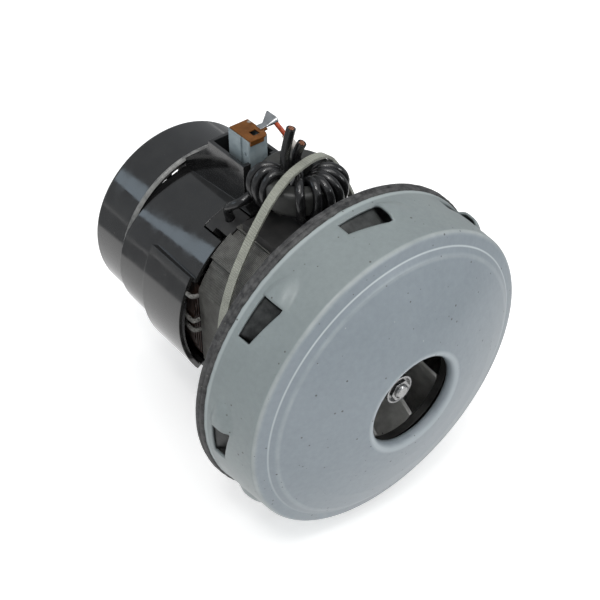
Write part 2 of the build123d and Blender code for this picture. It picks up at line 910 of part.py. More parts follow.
def cooling_fan():
    disc = tube(cooler_disc_x, cooler_disc_x + cooler_sheet, shaft_tail_radius, cooler_radius)
    hub = tube(cooler_blade_rear_x + 3, cooler_disc_x, shaft_tail_radius, cooler_hub_radius)
    blade = block(cooler_blade_rear_x, cooler_disc_x, -cooler_sheet / 2, cooler_sheet / 2, 7, cooler_radius - 1)
    blade -= block(cooler_blade_rear_x - 1, cooler_blade_rear_x + 3, -5, 5, 0, 16)
    return disc.fuse(hub, *around(blade, cooler_blades))


def cooling_cover():
    inner = cover_radius - cover_wall
    front = housing_rear_x - seat_gap
    cup = turned([
        (cover_rear_x, 0),
        (cover_rear_x, cover_radius),
        (front, cover_radius),
        (front, inner),
        (cover_rear_x + cover_wall, inner),
        (cover_rear_x + cover_wall, 0),
    ], [0, cover_bend, 0.3, 0, 0.5, 0])
    middle = (grille_inner + grille_outer) / 2
    length = grille_outer - grille_inner
    slot = Pos(0, middle) * Rot(Z=90) * SlotOverall(length, grille_slot)
    slots = [Rot(Z=360.0 / grille_slots * k) * slot for k in range(grille_slots)]
    cutters = [Pos(cover_rear_x - 1, 0, 0) * extrude(Plane.YZ * s, amount=cover_wall + 2) for s in slots]
    return cup.cut(*cutters)


# Suppression ring, leads and tie

def suppression_ring():
    body = Cylinder(ring_outer, ring_height) - Cylinder(ring_inner, ring_height)
    body = fillet(body.edges(), ring_bend)
    return Pos(ring_x, ring_y, ring_z) * Rot(Y=ring_tilt) * body


def lead_coil(angles):
    """The outer shape of the turns that one lead makes round the ring."""
    middle = (ring_outer + ring_inner) / 2
    turns = Ellipse(turn_half_width + lead_radius, turn_half_height + lead_radius)
    turns -= Ellipse(turn_half_width - lead_radius, turn_half_height - lead_radius)
    section = Plane.XZ * Pos(middle, 0) * turns
    coil = revolve(section, axis=Axis.Z, revolution_arc=angles[1] - angles[0])
    return Pos(ring_x, ring_y, ring_z) * Rot(Y=ring_tilt) * Rot(Z=angles[0]) * coil


left_lead_points = [
    (cable_hole_x, -16.0, 39.0),
    (cable_hole_x + 0.4, -18.6, 44.6),
    (cable_hole_x + 2.4, -17.8, 48.6),
    (cable_hole_x + 5.5, -14.5, 50.4),
    (cable_hole_x + 7.0, -11.5, 51.0),
]
left_tail_points = [
    (-35.6, 0.4, 58.0),
    (-36.1, 1.0, 64.0),
    (-35.7, 1.9, 71.0),
    (-34.4, 3.6, 80.6),
]
right_lead_points = [
    (cable_hole_x, 16.0, 39.0),
    (cable_hole_x + 0.4, 18.6, 45.0),
    (cable_hole_x + 3.6, 21.2, 49.4),
    (cable_hole_x + 9.0, 22.4, 51.6),
    (cable_hole_x + 14.5, 22.3, 52.8),
    (cable_hole_x + 22.1, 20.8, 55.2),
]
right_tail_points = [
    (-31.2, 7.8, 55.0),
    (-33.0, 6.8, 59.2),
    (-34.8, 5.6, 63.4),
    (-34.6, 5.9, 68.2),
    (-33.2, 7.8, 72.6),
]


def tie_outline():
    right = [(10.5, 67.0), (19.8, 63.8), (25.4, 56.8), (35.4, 38.5), (45.4, 16.0)]
    lower = [(45.6, -15.0), (33.0, -34.4), (20.5, -46.6)]
    left = [(-3.0, 66.9), (-14.0, 62.0), (-25.6, 51.8), (-37.4, 38.0), (-44.6, 22.0)]
    return right + lower + [(-y, z) for y, z in lower[::-1]] + left[::-1]


def cable_tie():
    """A strap pulled round the stator and the ring, with its locking head and cut end."""
    corners = tie_outline()
    bends = bend_radii([corners[-1], *corners, corners[0]])
    outer = make_face(FilletPolyline(*corners, radius=bends, close=True))
    band = outer - offset(outer, -tie_thickness)
    band = Pos(-tie_width / 2, 0, 0) * extrude(Plane.YZ * band, amount=tie_width)
    y, z = tie_head_place
    head = Pos(-0.8, y, z) * Rot(X=tie_head_turn) * Box(tie_head, tie_head - 1, tie_head)
    tail = [(0, y, z), (-5.0, y - 3.5, z - 1.5), (-12.0, y - 5.5, z - 1.0)]
    path = FilletPolyline(*tail, radius=bend_radii(tail))
    start = Plane(origin=path @ 0, x_dir=(0, 0, 1), z_dir=path % 0)
    strip = sweep(start * Rectangle(tie_width, tie_thickness), path=path)
    return Pos(tie_x, 0, 0) * Rot(Z=tie_tilt) * band.fuse(head, strip)


def upper_and_lower(name, shape):
    return {f"upper_{name}": shape, f"lower_{name}": about_shaft(shape, 180)}


nodes = {
    "fan_shroud": fan_shroud(),
    "rim_gasket": rim_gasket(),
    "fan_base": fan_base(),
    "front_bracket": front_bracket(),
    "front_bearing": bearing_outer(front_bearing_x, front_bearing_width, front_bearing_radius, shaft_radius),
    "front_inner_race": bearing_inner(front_bearing_x, front_bearing_width, shaft_radius),
    "rear_bearing": bearing_outer(rear_bearing_x, rear_bearing_width, rear_bearing_radius, shaft_tail_radius),
    "rear_inner_race": bearing_inner(rear_bearing_x, rear_bearing_width, shaft_tail_radius),
    "stator_core": stator_core(),
    "left_field_coil": field_coil(-1),
    "right_field_coil": field_coil(1),
    "stator_screws": stator_screws(),
    "rear_housing": rear_housing(),
    "left_lead_guide": lead_guide(1),
    "right_lead_guide": lead_guide(-1),
    "cooling_cover": cooling_cover(),
    "shaft": shaft(),
    "armature_core": armature_core(),
    "armature_windings": armature_windings(),
    "winding_sleeve": winding_sleeve(),
    "commutator": commutator(),
    "commutator_hub": commutator_hub(),
    "cooling_fan": cooling_fan(),
    "fan_spacer": fan_spacer(),
    "fan_back_disc": fan_back_disc(),
    "fan_blades": fan_blade_set(),
    "fan_front_disc": fan_front_disc(),
    "fan_hub": fan_hub(),
    "fan_washer": fan_washer(),
    "fan_nut": fan_nut(),
    "suppression_ring": suppression_ring(),
    "left_lead": pipe(left_lead_points, lead_radius, bend_radii(left_lead_points)),
    "left_lead_coil": lead_coil(left_coil_angles),
    "left_lead_end": pipe(left_tail_points, lead_radius, bend_radii(left_tail_points)),
    "right_lead": pipe(right_lead_points, lead_radius, bend_radii(right_lead_points)),
    "right_lead_coil": lead_coil(right_coil_angles),
    "right_lead_end": pipe(right_tail_points, lead_radius, bend_radii(right_tail_points)),
    "cable_tie": cable_tie(),
}
nodes.update(upper_and_lower("brush_holder", brush_holder()))
nodes.update(upper_and_lower("brush_clip", brush_clip()))
nodes.update(upper_and_lower("carbon_brush", carbon_brush()))
nodes.update(upper_and_lower("brush_spring", brush_spring()))
nodes.update(upper_and_lower("brush_terminal", crimp_terminal()))
nodes.update(upper_and_lower("brush_lead", brush_lead()))

os.makedirs("parts", exist_ok=True)
for name, shape in nodes.items():
    export_step(shape, f"parts/{name}.step")

for name, points in (
    ("left lead", left_lead_points),
    ("left end", left_tail_points),
    ("right lead", right_lead_points),
    ("right end", right_tail_points),
    ("brush lead", brush_lead_points),
):
    print(name, "bend radii", [round(r, 1) for r in bend_radii(points)])
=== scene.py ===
import math

import bpy
from mathutils import Matrix, Vector, noise


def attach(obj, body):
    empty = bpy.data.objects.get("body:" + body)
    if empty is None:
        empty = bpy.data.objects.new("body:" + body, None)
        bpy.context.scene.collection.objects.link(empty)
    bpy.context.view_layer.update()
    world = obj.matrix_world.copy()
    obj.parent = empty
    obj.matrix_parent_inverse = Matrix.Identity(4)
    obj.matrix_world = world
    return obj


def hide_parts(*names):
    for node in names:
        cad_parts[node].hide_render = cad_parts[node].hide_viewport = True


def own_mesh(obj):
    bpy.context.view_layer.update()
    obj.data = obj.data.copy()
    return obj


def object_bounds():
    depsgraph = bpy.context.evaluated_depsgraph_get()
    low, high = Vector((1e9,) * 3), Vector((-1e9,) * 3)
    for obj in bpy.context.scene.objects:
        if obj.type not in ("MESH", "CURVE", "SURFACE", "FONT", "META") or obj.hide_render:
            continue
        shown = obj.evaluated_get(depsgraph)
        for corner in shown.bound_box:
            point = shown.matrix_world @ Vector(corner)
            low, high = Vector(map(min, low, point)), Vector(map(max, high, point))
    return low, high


# The motor as it was built: shaft along X with the inlet at +X, upper brush at +Z.
# It is seen from above its front left side, on a white floor in soft even light.
# A gloss black surface mirrors a small white sheet under the motor and a grey room above it.
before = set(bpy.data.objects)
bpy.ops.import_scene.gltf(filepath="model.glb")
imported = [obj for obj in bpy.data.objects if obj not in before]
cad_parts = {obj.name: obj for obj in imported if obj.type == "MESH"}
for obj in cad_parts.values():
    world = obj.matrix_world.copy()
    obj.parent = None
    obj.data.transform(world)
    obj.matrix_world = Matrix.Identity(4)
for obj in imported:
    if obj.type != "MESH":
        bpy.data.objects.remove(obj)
cad_low, cad_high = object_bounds()

camera_place = Vector((0.2454, -0.2187, 0.3144))
camera_look = Vector((-0.57971, 0.46928, -0.66612))
camera = bpy.data.objects.new("camera", bpy.data.cameras.new("camera"))
camera.data.sensor_width = 36.0
camera.data.lens = 68.6
camera.data.clip_start = 0.01
camera.location = camera_place
camera.rotation_mode = "QUATERNION"
camera.rotation_quaternion = camera_look.to_track_quat("-Z", "Y")
bpy.context.collection.objects.link(camera)
bpy.context.scene.camera = camera
bpy.context.scene.view_settings.view_transform = "Standard"

floor_drop = 0.0012
floor_reach = 1.6
floor_lift = 0.42
sheet_middle = (-0.04, -0.03)
sheet_inner = 0.265
sheet_outer = 0.295
horizon_low = -0.06
horizon_high = 0.02


def mesh_piece(name, points, faces):
    mesh = bpy.data.meshes.new(name)
    mesh.from_pydata([tuple(p) for p in points], [], faces)
    mesh.polygons.foreach_set("use_smooth", [True] * len(mesh.polygons))
    mesh.update()
    piece = bpy.data.objects.new(name, mesh)
    bpy.context.collection.objects.link(piece)
    return piece


def new_material(name):
    material = bpy.data.materials.new(name)
    material.use_nodes = True
    return material, material.node_tree.nodes["Principled BSDF"]


def add_node(owner, kind, inputs=None, **settings):
    """A node of a material or a node tree, with its settings and plain input values."""
    node = getattr(owner, "node_tree", owner).nodes.new(kind)
    for key, value in settings.items():
        setattr(node, key, value)
    for key, value in (inputs or {}).items():
        node.inputs[key].default_value = value
    return node


def join(owner, source, socket):
    """A socket takes a plain value or colour, or is linked to another socket."""
    if isinstance(source, (float, tuple)):
        socket.default_value = source
    else:
        getattr(owner, "node_tree", owner).links.new(source, socket)


def ramp(owner, value, low, high, start=0.0, end=1.0):
    """A value that goes from start to end as another goes from low to high."""
    span = {"From Min": low, "From Max": high, "To Min": start, "To Max": end}
    node = add_node(owner, "ShaderNodeMapRange", span)
    join(owner, value, node.inputs["Value"])
    return node.outputs["Result"]


def mix_by(tree, mask, first, second):
    """A shader that shows the first where the mask is 0 and the second where it is 1."""
    mix = add_node(tree, "ShaderNodeMixShader")
    for index, source in enumerate((mask, first, second)):
        join(tree, source, mix.inputs[index])
    return mix.outputs[0]


def ray_masks(tree):
    """A mask of the rays that glossy and clear surfaces send on, and one of the camera's rays."""
    path = add_node(tree, "ShaderNodeLightPath")
    either = add_node(tree, "ShaderNodeMath", operation="MAXIMUM")
    join(tree, path.outputs["Is Glossy Ray"], either.inputs[0])
    join(tree, path.outputs["Is Transmission Ray"], either.inputs[1])
    return either.outputs[0], path.outputs["Is Camera Ray"]


def backdrop(tree, color, strength):
    return add_node(tree, "ShaderNodeBackground", {"Color": (*color, 1.0), "Strength": strength}).outputs[0]


world = bpy.data.worlds.new("studio")
bpy.context.scene.world = world
world.use_nodes = True
sky = world.node_tree
sky.nodes.remove(sky.nodes["Background"])
direction = add_node(sky, "ShaderNodeTexCoord")
height = add_node(sky, "ShaderNodeSeparateXYZ")
join(sky, direction.outputs["Generated"], height.inputs[0])
above_floor = ramp(sky, height.outputs["Z"], horizon_low, horizon_high)
white_sky = backdrop(sky, (1.0, 1.0, 1.0), 1.0)
dark_sky = backdrop(sky, (0.92, 0.96, 1.0), 0.40)
room_sky = backdrop(sky, (0.98, 0.99, 1.0), 0.55)
in_mirror, to_eye = ray_masks(sky)
mirrored = mix_by(sky, above_floor, white_sky, dark_sky)
lit = mix_by(sky, in_mirror, room_sky, mirrored)
join(sky, mix_by(sky, to_eye, lit, white_sky), sky.nodes["World Output"].inputs["Surface"])

floor_z = cad_low.z - floor_drop
floor = mesh_piece(
    "floor",
    [(x * floor_reach, y * floor_reach, floor_z) for x, y in ((-1, -1), (1, -1), (1, 1), (-1, 1))],
    [(0, 1, 2, 3)],
)
floor_paper, paper_shader = new_material("floor_paper")
paper_shader.inputs["Base Color"].default_value = (0.93, 0.93, 0.93, 1.0)
paper_shader.inputs["Roughness"].default_value = 0.9
paper = floor_paper.node_tree
lift = add_node(paper, "ShaderNodeEmission", {"Strength": floor_lift})
glow = add_node(paper, "ShaderNodeEmission")
dim = add_node(paper, "ShaderNodeEmission", {"Color": (0.34, 0.35, 0.36, 1.0)})
lifted = add_node(paper, "ShaderNodeAddShader")
join(paper, paper_shader.outputs[0], lifted.inputs[0])
join(paper, lift.outputs[0], lifted.inputs[1])
spot = add_node(paper, "ShaderNodeTexCoord")
from_motor = add_node(paper, "ShaderNodeVectorMath", {1: (*sheet_middle, floor_z)}, operation="DISTANCE")
join(paper, spot.outputs["Object"], from_motor.inputs[0])
past_sheet = ramp(paper, from_motor.outputs["Value"], sheet_inner, sheet_outer)
in_mirror, to_eye = ray_masks(paper)
seen = mix_by(paper, to_eye, paper_shader.outputs[0], lifted.outputs[0])
mirrored = mix_by(paper, past_sheet, glow.outputs[0], dim.outputs[0])
join(paper, mix_by(paper, in_mirror, seen, mirrored), paper.nodes["Material Output"].inputs["Surface"])
floor.data.materials.append(floor_paper)


def soft_lamp(name, place, aim, width, height, power, color):
    lamp = bpy.data.lights.new(name, "AREA")
    lamp.shape = "RECTANGLE"
    lamp.size, lamp.size_y = width, height
    lamp.energy = power
    lamp.color = color
    holder = bpy.data.objects.new(name, lamp)
    holder.location = place
    holder.rotation_mode = "QUATERNION"
    holder.rotation_quaternion = (Vector(aim) - Vector(place)).to_track_quat("-Z", "Y")
    bpy.context.collection.objects.link(holder)


soft_lamp("window", (-0.75, -0.75, 0.54), (-0.05, 0, 0), 0.5, 0.27, 0.6, (0.70, 0.86, 1.0))
soft_lamp("ceiling", (0.25, -0.1, 1.3), (0, 0, 0), 1.2, 1.2, 7.0, (1.0, 0.99, 0.97))
soft_lamp("overhead", (0.30, -0.40, 1.0), (0, 0, 0), 0.14, 0.14, 1.6, (1.0, 0.99, 0.98))
soft_lamp("front", (0.95, 0.46, 0.46), (0, 0, 0), 0.3, 0.3, 2.0, (0.98, 0.99, 1.0))

# Shroud
# A deep pressing of 1 mm steel sheet with eight lanced air vents, sprayed blue-grey.
# Its rim is held in the rubber ring and its face is domed up to the turned-in inlet lip.
sheet = 0.001
shroud_line = [
    (0.0012, 0.0688), (0.004, 0.0687), (0.0064, 0.06825), (0.0307, 0.0663), (0.0322, 0.0609),
    (0.0339, 0.0581), (0.0376, 0.048), (0.0412, 0.035), (0.0448, 0.0198), (0.0402, 0.0198),
]
shroud_bends = [0, 0.002, 0.003, 0.0022, 0.0007, 0.0012, 0.02, 0.03, 0.0026, 0]
rim_end = 0.0066
wall_start = Vector((0.0064, 0.06825))
wall_end = Vector((0.0307, 0.0663))
side_inner, side_outer = 0.0652, 0.0662
# Heights over which the painted highlight on the face's crease grows stronger towards the top.
highlight_fade_low, highlight_fade_high = -0.045, 0.045
vent_rear = 0.0082
vent_tall = 0.0183
vent_short = 0.014
vent_count = 8
vent_first = math.radians(-6.3)
vent_width = math.radians(14.5)
scoop_centre = 0.0134
scoop_half = 0.0062
scoop_length = 0.0125
scoop_rise = 0.0021
vent_columns, plain_columns = 12, 36
rear_rows, vent_rows, front_rows = 4, 14, 16
tongue_across, tongue_along = 6, 16
tongue_drop = 0.0034
tongue_curl = 1.3
tongue_clear = 0.02
tongue_gap = 0.0013
tongue_root = 0.0004
tongue_sheet = 0.0008


def bent_line(points, bends, steps=7):
    """The points of a line whose corners are bent to arcs."""
    line = [Vector(points[0])]
    for before, here, after, bend in zip(points, points[1:], points[2:], bends[1:]):
        here = Vector(here)
        back, on = (Vector(before) - here).normalized(), (Vector(after) - here).normalized()
        turn = math.pi - back.angle(on)
        if bend == 0 or turn < 1e-4:
            line.append(here)
            continue
        reach = bend * math.tan(turn / 2)
        middle = here + (back + on).normalized() * (bend / math.cos(turn / 2))
        first = here + back * reach - middle
        sweep = first.angle_signed(here + on * reach - middle)
        for step in range(steps + 1):
            line.append(middle + Matrix.Rotation(-sweep * step / steps, 2) @ first)
    line.append(Vector(points[-1]))
    return line


def ring_point(x, radius, turn):
    """A point at a place along the shaft, a radius, and a turn from +Z towards -Y."""
    return Vector((x, -radius * math.sin(turn), radius * math.cos(turn)))


def wall_radius(x):
    share = (x - wall_start.x) / (wall_end.x - wall_start.x)
    return wall_start.y + (wall_end.y - wall_start.y) * share


def scoop_height(x, run):
    """How far a vent's scoop stands out, at a run before the vent's open edge."""
    inside = 1 - (run / scoop_length) ** 2 - ((x - scoop_centre) / scoop_half) ** 2
    return scoop_rise * inside * inside * (3 - 2 * inside) if 0 < inside <= 1 else 0.0


def ring_faces(columns, rows, is_open=lambda column, row: False):
    """The faces between columns of points that go once round the shaft."""
    faces = []
    for column in range(columns):
        here, on = column * rows, (column + 1) % columns * rows
        faces += [(here + row, on + row, on + row + 1, here + row + 1)
                  for row in range(rows - 1) if not is_open(column, row)]
    return faces


def shroud_mesh():
    """The turned cup, with a column of points at each turn and an opening and a scoop at each vent."""
    line = bent_line(shroud_line, shroud_bends)
    rear = [p for p in line if p.x < rim_end]
    front = line[len(rear):]
    pitch = 2 * math.pi / vent_count
    rest = pitch - vent_width
    columns = []
    for vent in range(vent_count):
        begin = vent_first + pitch * vent
        columns += [(begin + vent_width * k / vent_columns, True, k / vent_columns)
                    for k in range(vent_columns)]
        columns += [(begin + vent_width + rest * k / plain_columns, False, k / plain_columns)
                    for k in range(plain_columns)]
    wall_x = front[0].x
    points = []
    for turn, in_vent, share in columns:
        left, right = (vent_tall, vent_short) if in_vent else (vent_short, vent_tall)
        edge = left + (right - left) * share
        xs = [rear[-1].x + (vent_rear - rear[-1].x) * k / rear_rows for k in range(1, rear_rows)]
        xs += [vent_rear + (edge - vent_rear) * k / vent_rows for k in range(vent_rows)]
        xs += [edge + (wall_x - edge) * k / front_rows for k in range(front_rows)]
        run = 0.0 if share == 0 and in_vent else (1 - share) * rest * wall_start.y
        column = [(p.x, p.y) for p in rear]
        for x in xs:
            rise = 0.0 if in_vent and share > 0 else scoop_height(x, run)
            column.append((x, wall_radius(x) + rise))
        column += [(p.x, p.y) for p in front]
        points += [ring_point(x, radius, turn) for x, radius in column]
    first_open = len(rear) + rear_rows - 1
    opening = range(first_open, first_open + vent_rows)
    faces = ring_faces(len(columns), len(column), lambda c, row: columns[c][1] and row in opening)
    return mesh_piece("shroud", points, faces)


def tongue_mesh():
    """The lanced tongue under each vent, bent in from the vent's rear edge."""
    points, faces = [], []
    rows = tongue_across + 1
    for vent in range(vent_count):
        begin = vent_first + 2 * math.pi / vent_count * vent
        first = len(points)
        for k in range(tongue_along + 1):
            share = k / tongue_along
            turn = begin + vent_width * (tongue_clear + (1 - 2 * tongue_clear) * share)
            edge = vent_tall + (vent_short - vent_tall) * share - tongue_gap
            for step in range(rows):
                lean = step / tongue_across
                x = vent_rear - tongue_root + (edge - vent_rear) * lean
                points.append(ring_point(x, wall_radius(x) - sheet - tongue_drop * lean ** tongue_curl, turn))
        for k in range(tongue_along):
            here = first + k * rows
            faces += [(here + step, here + rows + step, here + rows + step + 1, here + step + 1)
                      for step in range(tongue_across)]
    return mesh_piece("vent_tongues", points, faces)


# The finishes share three surface effects, all worked out from the place on the piece.
value_socket, color_socket, vector_socket = "NodeSocketFloat", "NodeSocketColor", "NodeSocketVector"
mid_grey = (0.5, 0.5, 0.5, 1.0)


def effect_group(name, inputs, outputs):
    group = bpy.data.node_groups.new(name, "ShaderNodeTree")
    for label, kind, value in inputs:
        socket = group.interface.new_socket(name=label, in_out="INPUT", socket_type=kind)
        socket.default_value = value
    for label, kind in outputs:
        group.interface.new_socket(name=label, in_out="OUTPUT", socket_type=kind)
    start = group.nodes.new("NodeGroupInput")
    end = group.nodes.new("NodeGroupOutput")
    return group, start, end


def mottle_effect():
    """Slow patches between two colours, and the same patches as a value."""
    inputs = [("Scale", value_socket, 100.0), ("Contrast", value_socket, 1.0),
              ("Color A", color_socket, mid_grey), ("Color B", color_socket, mid_grey)]
    group, start, end = effect_group("mottle", inputs, [("Color", color_socket), ("Value", value_socket)])
    place = add_node(group, "ShaderNodeTexCoord")
    cloud = add_node(group, "ShaderNodeTexNoise", {"Detail": 5.0, "Roughness": 0.62})
    centre = add_node(group, "ShaderNodeMath", {1: 0.5}, operation="SUBTRACT")
    spread = add_node(group, "ShaderNodeMath", {2: 0.5}, operation="MULTIPLY_ADD", use_clamp=True)
    colors = add_node(group, "ShaderNodeMix", data_type="RGBA")
    link = group.links.new
    link(place.outputs["Object"], cloud.inputs["Vector"])
    link(start.outputs["Scale"], cloud.inputs["Scale"])
    link(cloud.outputs["Fac"], centre.inputs[0])
    link(centre.outputs[0], spread.inputs[0])
    link(start.outputs["Contrast"], spread.inputs[1])
    link(spread.outputs[0], colors.inputs["Factor"])
    link(start.outputs["Color A"], colors.inputs["A"])
    link(start.outputs["Color B"], colors.inputs["B"])
    link(colors.outputs["Result"], end.inputs["Color"])
    link(spread.outputs[0], end.inputs["Value"])
    return group


def speck_effect():
    """Sparse round specks of uneven size, as a mask."""
    inputs = [("Scale", value_socket, 300.0), ("Size", value_socket, 0.12), ("Share", value_socket, 0.2)]
    group, start, end = effect_group("specks", inputs, [("Mask", value_socket)])
    place = add_node(group, "ShaderNodeTexCoord")
    cells = add_node(group, "ShaderNodeTexVoronoi")
    pick = add_node(group, "ShaderNodeSeparateColor")
    chosen = add_node(group, "ShaderNodeMath", operation="LESS_THAN")
    reach = add_node(group, "ShaderNodeMath", operation="MULTIPLY")
    half = add_node(group, "ShaderNodeMath", {1: 0.5}, operation="MULTIPLY")
    near = add_node(group, "ShaderNodeMapRange", {"To Min": 1.0, "To Max": 0.0})
    both = add_node(group, "ShaderNodeMath", operation="MULTIPLY")
    link = group.links.new
    link(place.outputs["Object"], cells.inputs["Vector"])
    link(start.outputs["Scale"], cells.inputs["Scale"])
    link(cells.outputs["Color"], pick.inputs[0])
    link(pick.outputs[0], chosen.inputs[0])
    link(start.outputs["Share"], chosen.inputs[1])
    link(pick.outputs[1], reach.inputs[0])
    link(start.outputs["Size"], reach.inputs[1])
    link(reach.outputs[0], half.inputs[0])
    link(cells.outputs["Distance"], near.inputs["Value"])
    link(half.outputs[0], near.inputs["From Min"])
    link(reach.outputs[0], near.inputs["From Max"])
    link(near.outputs["Result"], both.inputs[0])
    link(chosen.outputs[0], both.inputs[1])
    link(both.outputs[0], end.inputs["Mask"])
    return group


def grain_effect():
    """A fine uneven skin, as a bumped normal."""
    inputs = [("Scale", value_socket, 2000.0), ("Depth", value_socket, 0.1),
              ("Surface", vector_socket, (0.0, 0.0, 0.0))]
    group, start, end = effect_group("grain", inputs, [("Normal", vector_socket)])
    place = add_node(group, "ShaderNodeTexCoord")
    cloud = add_node(group, "ShaderNodeTexNoise", {"Detail": 3.0})
    bump = add_node(group, "ShaderNodeBump", {"Distance": 0.0002})
    link = group.links.new
    link(place.outputs["Object"], cloud.inputs["Vector"])
    link(start.outputs["Scale"], cloud.inputs["Scale"])
    link(start.outputs["Depth"], bump.inputs["Strength"])
    link(start.outputs["Surface"], bump.inputs["Normal"])
    link(cloud.outputs["Fac"], bump.inputs["Height"])
    link(bump.outputs["Normal"], end.inputs["Normal"])
    return group


mottle = mottle_effect()
specks = speck_effect()
grain = grain_effect()


def use_effect(material, group, **values):
    node = add_node(material, "ShaderNodeGroup", node_tree=group)
    for key, value in values.items():
        node.inputs[key.replace("_", " ")].default_value = value
    return node


def mixed(material, mask, first, second, blend="MIX"):
    """One colour over another by a mask. Each is a socket or a plain value."""
    mix = add_node(material, "ShaderNodeMix", data_type="RGBA", blend_type=blend)
    for source, name in ((mask, "Factor"), (first, "A"), (second, "B")):
        join(material, source, mix.inputs[name])
    return mix.outputs["Result"]


def soft_edges(material, shader, radius, skin):
    """Edges that catch the light as if rounded, under the finish's own fine skin."""
    corner = add_node(material, "ShaderNodeBevel", {"Radius": radius}, samples=4)
    join(material, corner.outputs[0], skin.inputs["Surface"])
    join(material, skin.outputs["Normal"], shader.inputs["Normal"])


def plain_finish(name, color_a, color_b, rough, metallic=0.0, scale=90.0, contrast=2.0, skin=(2500.0, 0.1),
                 speck=None, specular=0.5, edge=0.0003):
    """A mottled, faintly grained finish, with specks where they are asked for."""
    material, shader = new_material(name)
    base = use_effect(material, mottle, Scale=scale, Contrast=contrast, Color_A=color_a, Color_B=color_b)
    color = base.outputs["Color"]
    if speck:
        speck_color, speck_scale, speck_size, speck_share = speck
        dots = use_effect(material, specks, Scale=speck_scale, Size=speck_size, Share=speck_share)
        color = mixed(material, dots.outputs["Mask"], color, speck_color)
    join(material, color, shader.inputs["Base Color"])
    join(material, ramp(material, base.outputs["Value"], 0.0, 1.0, *rough), shader.inputs["Roughness"])
    shader.inputs["Metallic"].default_value = metallic
    shader.inputs["Specular IOR Level"].default_value = specular
    soft_edges(material, shader, edge, use_effect(material, grain, Scale=skin[0], Depth=skin[1]))
    return material


def tone(*screen):
    """A colour as the eye reads it, from 0 to 255, turned to light values."""
    return tuple(((v / 255 + 0.055) / 1.055) ** 2.4 if v > 10 else v / 255 / 12.92 for v in screen) + (1.0,)


def times(material, first, second):
    product = add_node(material, "ShaderNodeMath", operation="MULTIPLY")
    join(material, first, product.inputs[0])
    join(material, second, product.inputs[1])
    return product.outputs[0]


def band(material, value, centre, half):
    """A mask that is 1 where a value is near the centre and falls to 0 at half a width away."""
    off = add_node(material, "ShaderNodeMath", {1: centre}, operation="SUBTRACT")
    size = add_node(material, "ShaderNodeMath", operation="ABSOLUTE")
    join(material, value, off.inputs[0])
    join(material, off.outputs[0], size.inputs[0])
    return ramp(material, size.outputs[0], half * 0.3, half, 1.0, 0.0)


def surface_place(material):
    """Where on the motor a point of the surface is: sockets for X, Y and Z."""
    place = add_node(material, "ShaderNodeTexCoord")
    split = add_node(material, "ShaderNodeSeparateXYZ")
    join(material, place.outputs["Object"], split.inputs[0])
    return split.outputs


def shaft_distance(material, place):
    flat = add_node(material, "ShaderNodeCombineXYZ")
    length = add_node(material, "ShaderNodeVectorMath", operation="LENGTH")
    join(material, place["Y"], flat.inputs["Y"])
    join(material, place["Z"], flat.inputs["Z"])
    join(material, flat.outputs[0], length.inputs[0])
    return length.outputs["Value"]


def paint_finish():
    """Sprayed paint with slow tone changes, dark pin specks and dirt, painted shade on the side wall, and
    painted highlights along the creases, the rim and the inlet lip, mottled like worn paint.
    """
    material, shader = new_material("shroud_paint")
    place = surface_place(material)
    along, out = place["X"], shaft_distance(material, place)
    base = use_effect(material, mottle, Scale=28.0, Contrast=1.4, Color_A=tone(134, 144, 151),
                      Color_B=tone(145, 154, 161))
    # The side wall takes a slightly darker, less blue copy of the same paint: painted shade where the wall
    # turns away from the light.
    side = use_effect(material, mottle, Scale=32.0, Contrast=1.4, Color_A=tone(131, 140, 141),
                      Color_B=tone(143, 152, 153))
    wall_shade = ramp(material, out, side_inner, side_outer)
    paint = mixed(material, wall_shade, base.outputs["Color"], side.outputs["Color"])
    dirt = use_effect(material, mottle, Scale=420.0, Contrast=2.2, Color_A=tone(112, 118, 120),
                      Color_B=tone(255, 255, 255))
    color = mixed(material, 0.14, paint, dirt.outputs["Color"], "MULTIPLY")
    # Patches that break up the painted highlights, and a share that makes the crease's painted highlight
    # stronger towards the top, where the light falls.
    highlight_breakup = use_effect(material, mottle, Scale=90.0, Contrast=1.3).outputs["Value"]
    upper = ramp(material, place["Z"], highlight_fade_low, highlight_fade_high, 0.15)
    # Each painted highlight band, mottled like worn paint: what measures it, where it lies, its half width,
    # its strength and its colour.
    for value, centre, half, strength, highlight_tone in (
        (along, 0.0303, 0.0009, times(material, highlight_breakup, 0.62), tone(196, 202, 202)),
        (out, 0.0609, 0.00045, times(material, upper, 0.75), tone(198, 206, 209)),
        (out, 0.0579, 0.0012, times(material, highlight_breakup, 0.36), tone(192, 199, 201)),
        (along, 0.0050, 0.0010, 0.5, tone(186, 195, 196)),
        (out, 0.0217, 0.0017, 0.5, tone(188, 197, 201)),
    ):
        color = mixed(material, times(material, band(material, value, centre, half), strength), color, highlight_tone)
    dots = use_effect(material, specks, Scale=330.0, Size=0.2, Share=0.62)
    color = mixed(material, times(material, dots.outputs["Mask"], 0.8), color, tone(62, 60, 58))
    flecks = use_effect(material, specks, Scale=260.0, Size=0.10, Share=0.07)
    color = mixed(material, flecks.outputs["Mask"], color, tone(176, 182, 184))
    join(material, color, shader.inputs["Base Color"])
    join(material, ramp(material, base.outputs["Value"], 0.0, 1.0, 0.30, 0.44), shader.inputs["Roughness"])
    soft_edges(material, shader, 0.0003, use_effect(material, grain, Scale=900.0, Depth=0.16))
    return material


shroud = shroud_mesh()
tongues = tongue_mesh()
# The tongues are coloured dark as painted shade for the inside of the vents, where they lie out of the light.
tongue_shade_finish = plain_finish("tongue_shaded_steel", tone(30, 32, 32), tone(66, 68, 68), (0.3, 0.5), metallic=0.2,
                             scale=240.0, contrast=3.0, skin=(900.0, 0.3))
for piece, wall_sheet, finish in ((shroud, sheet, paint_finish()), (tongues, tongue_sheet, tongue_shade_finish)):
    piece.data.materials.append(finish)
    wall = piece.modifiers.new("sheet", "SOLIDIFY")
    wall.thickness = wall_sheet
    wall.offset = -1.0
    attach(piece, "motor_frame")
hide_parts("fan_shroud")

